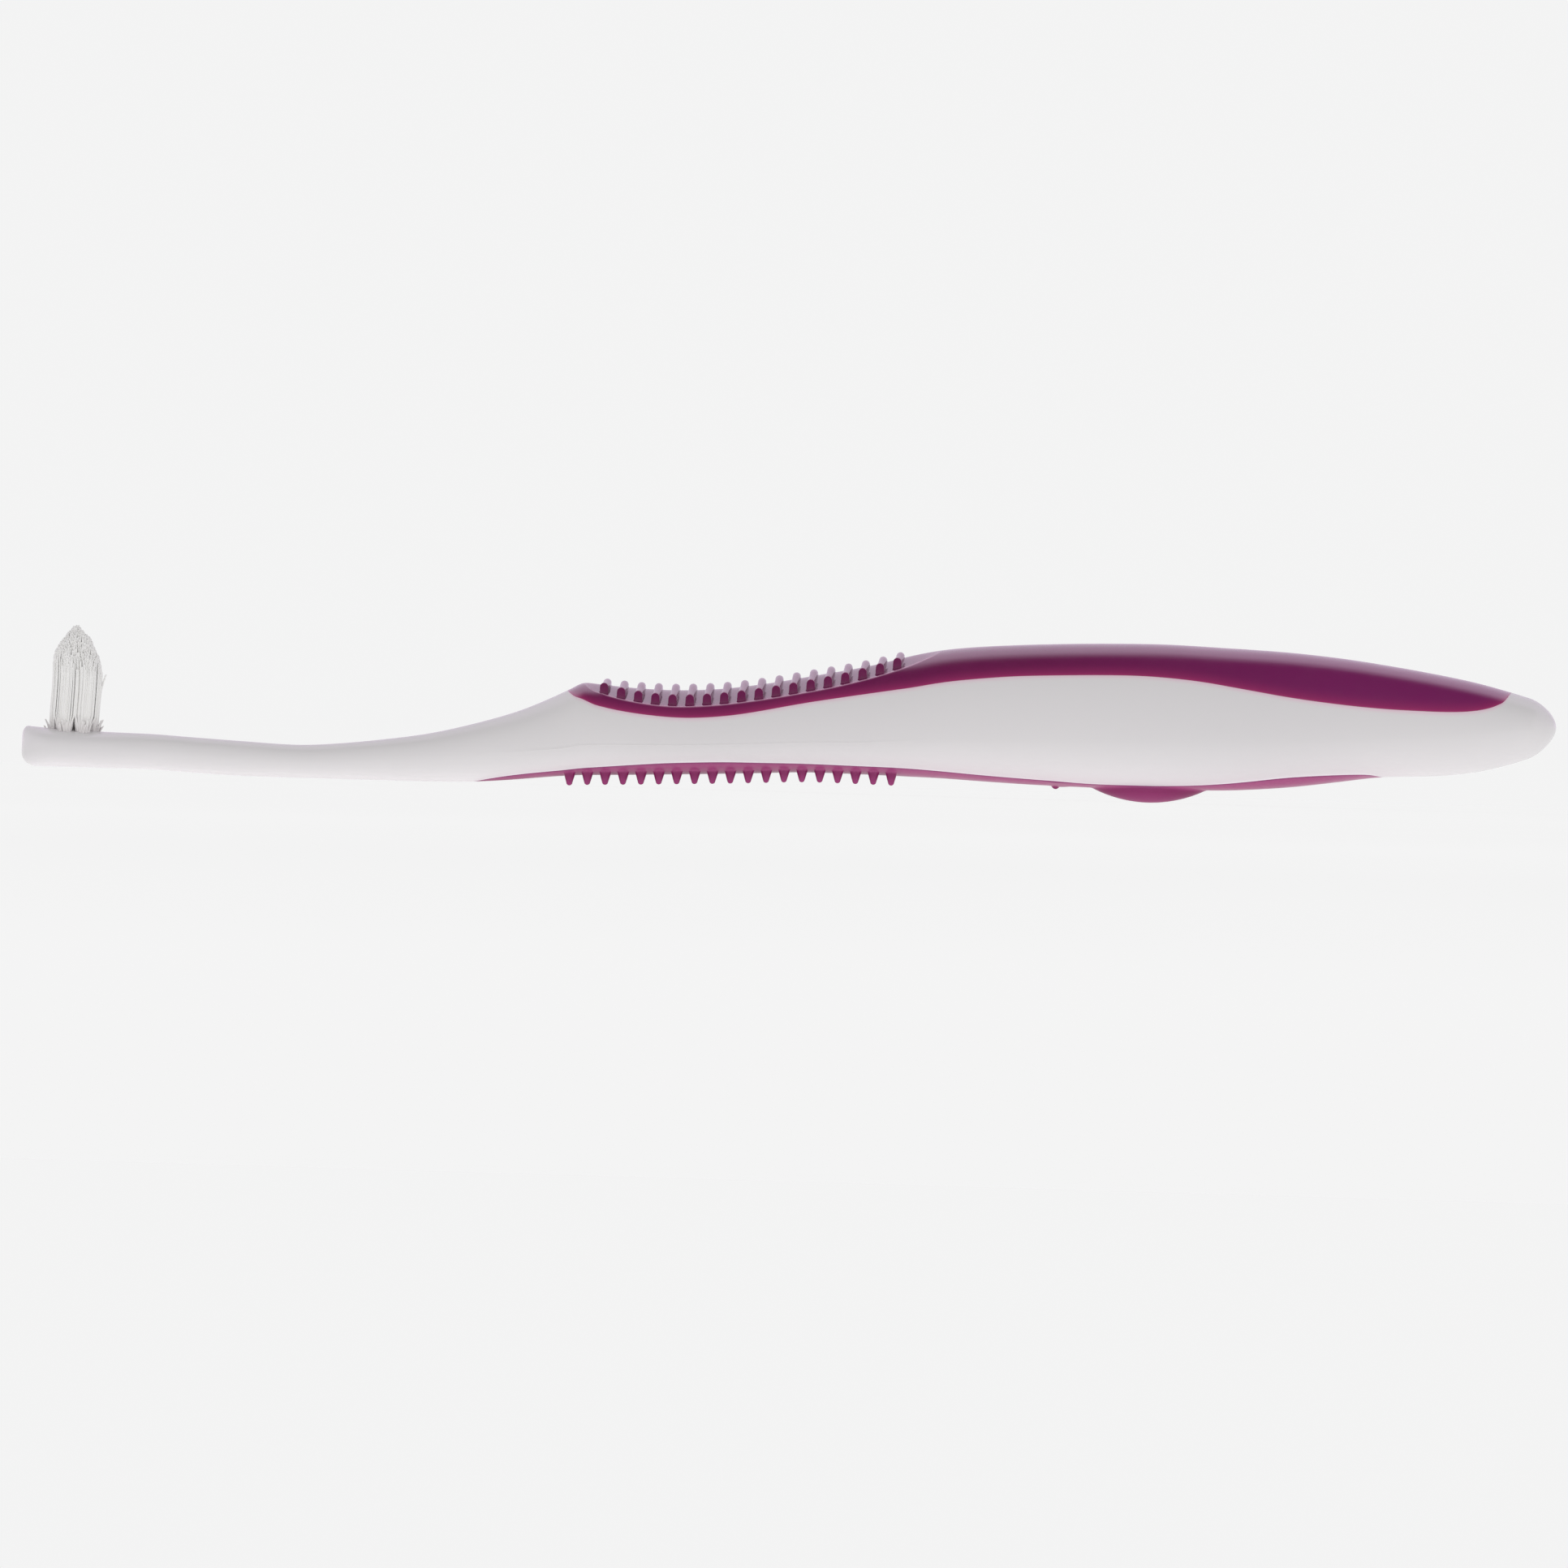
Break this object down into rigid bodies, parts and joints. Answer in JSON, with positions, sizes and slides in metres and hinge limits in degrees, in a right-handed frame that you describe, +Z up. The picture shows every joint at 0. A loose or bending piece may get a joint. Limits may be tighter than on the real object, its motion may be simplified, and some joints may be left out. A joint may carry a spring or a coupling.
{
  "type": "manual toothbrush",
  "caption": "Small-headed manual toothbrush with one pointed tuft, a slim neck and a thick white handle with purple and pink soft grips, a ribbed thumb pad and fins underneath.",
  "frame": {"origin": "on the table that the brush lies on, under the middle of its length and width", "axes": "+X from the nose to the tail, +Y across the handle, +Z up, the way the bristles point"},
  "size_m": [0.17, 0.013, 0.0176],
  "materials": {
    "white_plastic": "glossy white moulded polypropylene",
    "upper_rubber": "glossy deep purple soft elastomer",
    "lower_rubber": "satin pink-magenta soft elastomer",
    "bristles": "translucent white nylon filament",
    "anchor_metal": "plain nickel-silver sheet"
  },
  "bodies": {
    "root": {"handle_core": "white_plastic", "upper_grip": "upper_rubber", "lower_grip": "lower_rubber", "tuft_1": "bristles", "tuft_2": "bristles", "tuft_3": "bristles", "tuft_4": "bristles", "tuft_5": "bristles", "tuft_6": "bristles", "tuft_7": "bristles", "anchor_1": "anchor_metal", "anchor_2": "anchor_metal", "anchor_3": "anchor_metal", "anchor_4": "anchor_metal", "anchor_5": "anchor_metal", "anchor_6": "anchor_metal", "anchor_7": "anchor_metal"}
  },
  "joints": []
}
